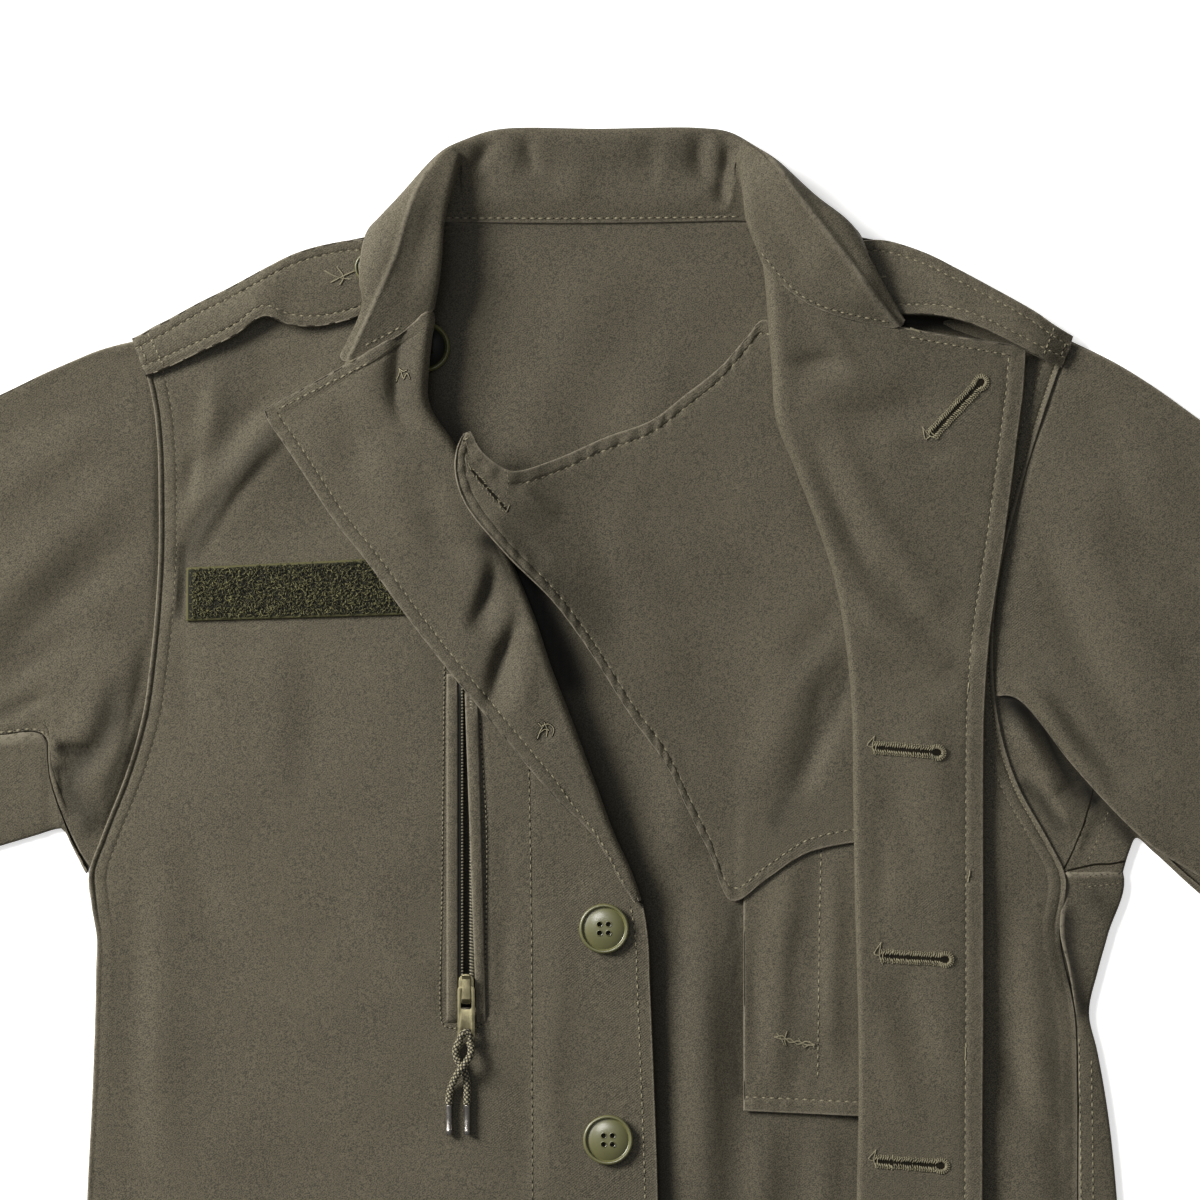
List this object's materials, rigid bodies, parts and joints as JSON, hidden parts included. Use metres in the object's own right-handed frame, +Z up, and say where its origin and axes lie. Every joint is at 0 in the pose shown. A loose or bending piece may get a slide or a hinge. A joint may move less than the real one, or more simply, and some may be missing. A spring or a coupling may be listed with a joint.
{
  "type": "field jacket",
  "caption": "Unbuttoned cotton field jacket lying flat on its back, with turned-out lapels, shoulder straps, an inner storm flap, a zipped chest pocket and plain buttons.",
  "frame": {"origin": "on the underside of the back, at its middle across and about 190 mm below the neck seam", "axes": "+X towards the wearer's left sleeve, +Y towards the collar, +Z up from the surface that the jacket lies on"},
  "size_m": [1.5895, 0.7658, 0.0251],
  "materials": {
    "twill": "matt brown-grey cotton twill with a slight sheen",
    "loop_pile": "dark olive loop pile",
    "zip_tape": "olive zip tape with moulded teeth",
    "button": "olive, half gloss",
    "aged_brass": "olive-tinted metal, half gloss",
    "cord": "braided",
    "ferrule": "dark burnished metal, half gloss"
  },
  "bodies": {
    "jacket": {"back": "twill", "button_front_1": "button", "button_front_2": "button", "button_front_3": "button", "button_front_4": "button", "button_lapel": "button", "button_neck": "button", "button_strap_left": "button", "button_strap_right": "button", "collar": "twill", "front_left": "twill", "front_right": "twill", "inner_pocket": "twill", "loop_strip": "loop_pile", "sleeve_left_under": "twill", "sleeve_left_upper": "twill", "sleeve_right_under": "twill", "sleeve_right_upper": "twill", "storm_flap": "twill", "strap_left": "twill", "strap_right": "twill", "welt_inner": "twill", "welt_outer": "twill", "zip_slider": "aged_brass", "zip_tape_inner": "zip_tape", "zip_tape_outer": "zip_tape"},
    "pull": {"zip_pull": "aged_brass", "pull_cord_right": "cord", "pull_cord_left": "cord", "ferrule_right": "ferrule", "ferrule_left": "ferrule"}
  },
  "joints": [
    {"name": "zip_pull_hinge", "type": "hinge", "parent": "jacket", "child": "pull", "pos_m": [-0.0668, -0.1936, 0.01163], "axis": [-1, 0, 0], "range_deg": [0, 160]}
  ]
}
